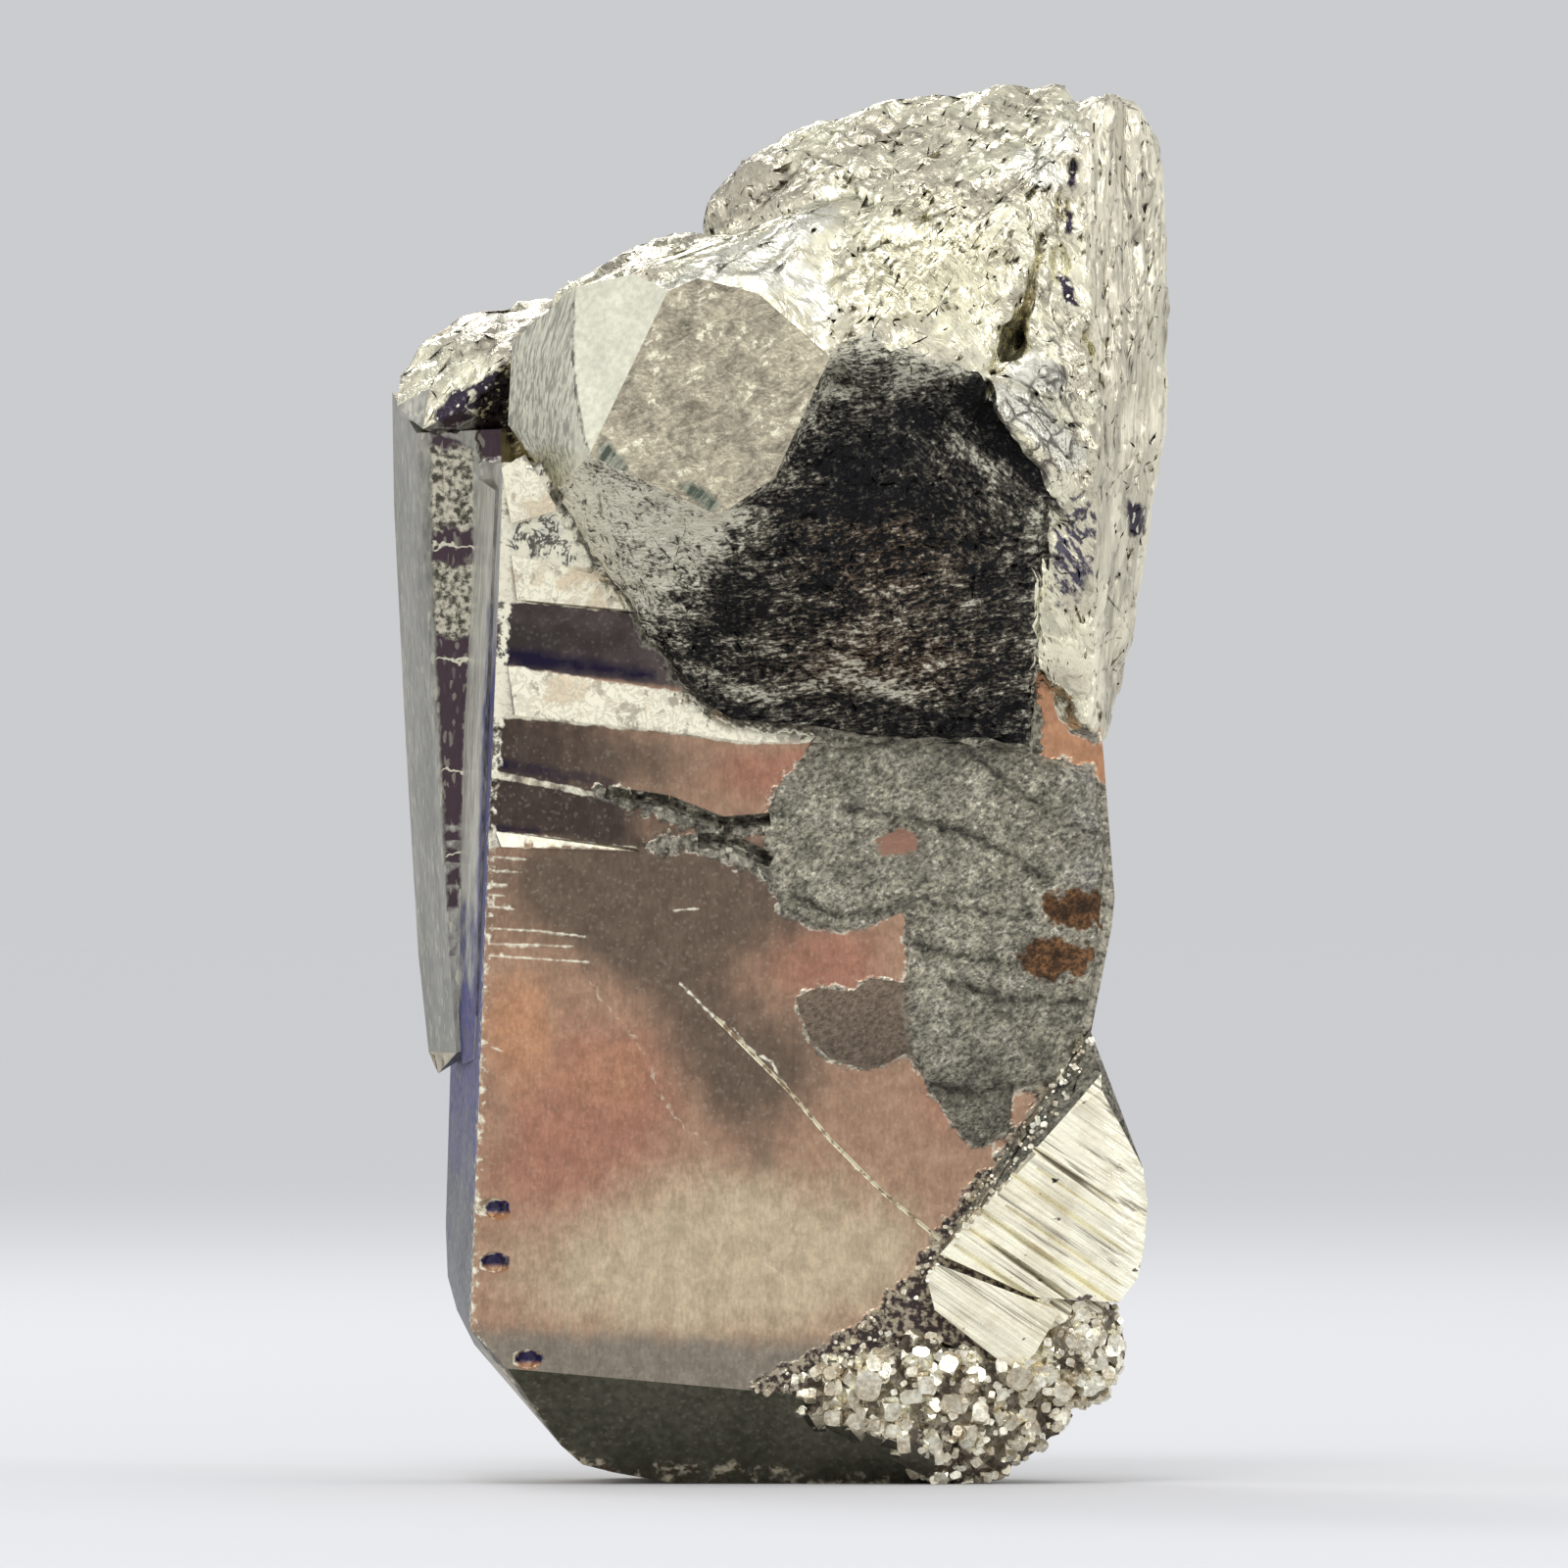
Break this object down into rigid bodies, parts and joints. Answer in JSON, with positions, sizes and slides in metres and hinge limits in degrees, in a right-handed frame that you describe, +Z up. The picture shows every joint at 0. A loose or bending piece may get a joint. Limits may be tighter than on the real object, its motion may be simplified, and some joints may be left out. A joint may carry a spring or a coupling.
{
  "type": "pyrite cluster",
  "caption": "Cluster of intergrown metallic crystals: a tall flat-faced crystal under a rough head, with a slab, a ridge and a striated crystal, standing on a flat foot.",
  "frame": {"origin": "middle of the bounding box, on the plane of the flat foot that the cluster stands on", "axes": "+Z up along the tall crystal, -Y out of the broad smooth face, +X to that face's right as seen from the front"},
  "size_m": [0.0402, 0.0322, 0.0719],
  "materials": {
    "pyrite": "natural pyrite: mirror-smooth tarnished faces, bright broken surfaces and dull grey crusts, with a tan to pinkish tarnish"
  },
  "bodies": {
    "root": {"pyrite_cluster": "pyrite"}
  },
  "joints": []
}
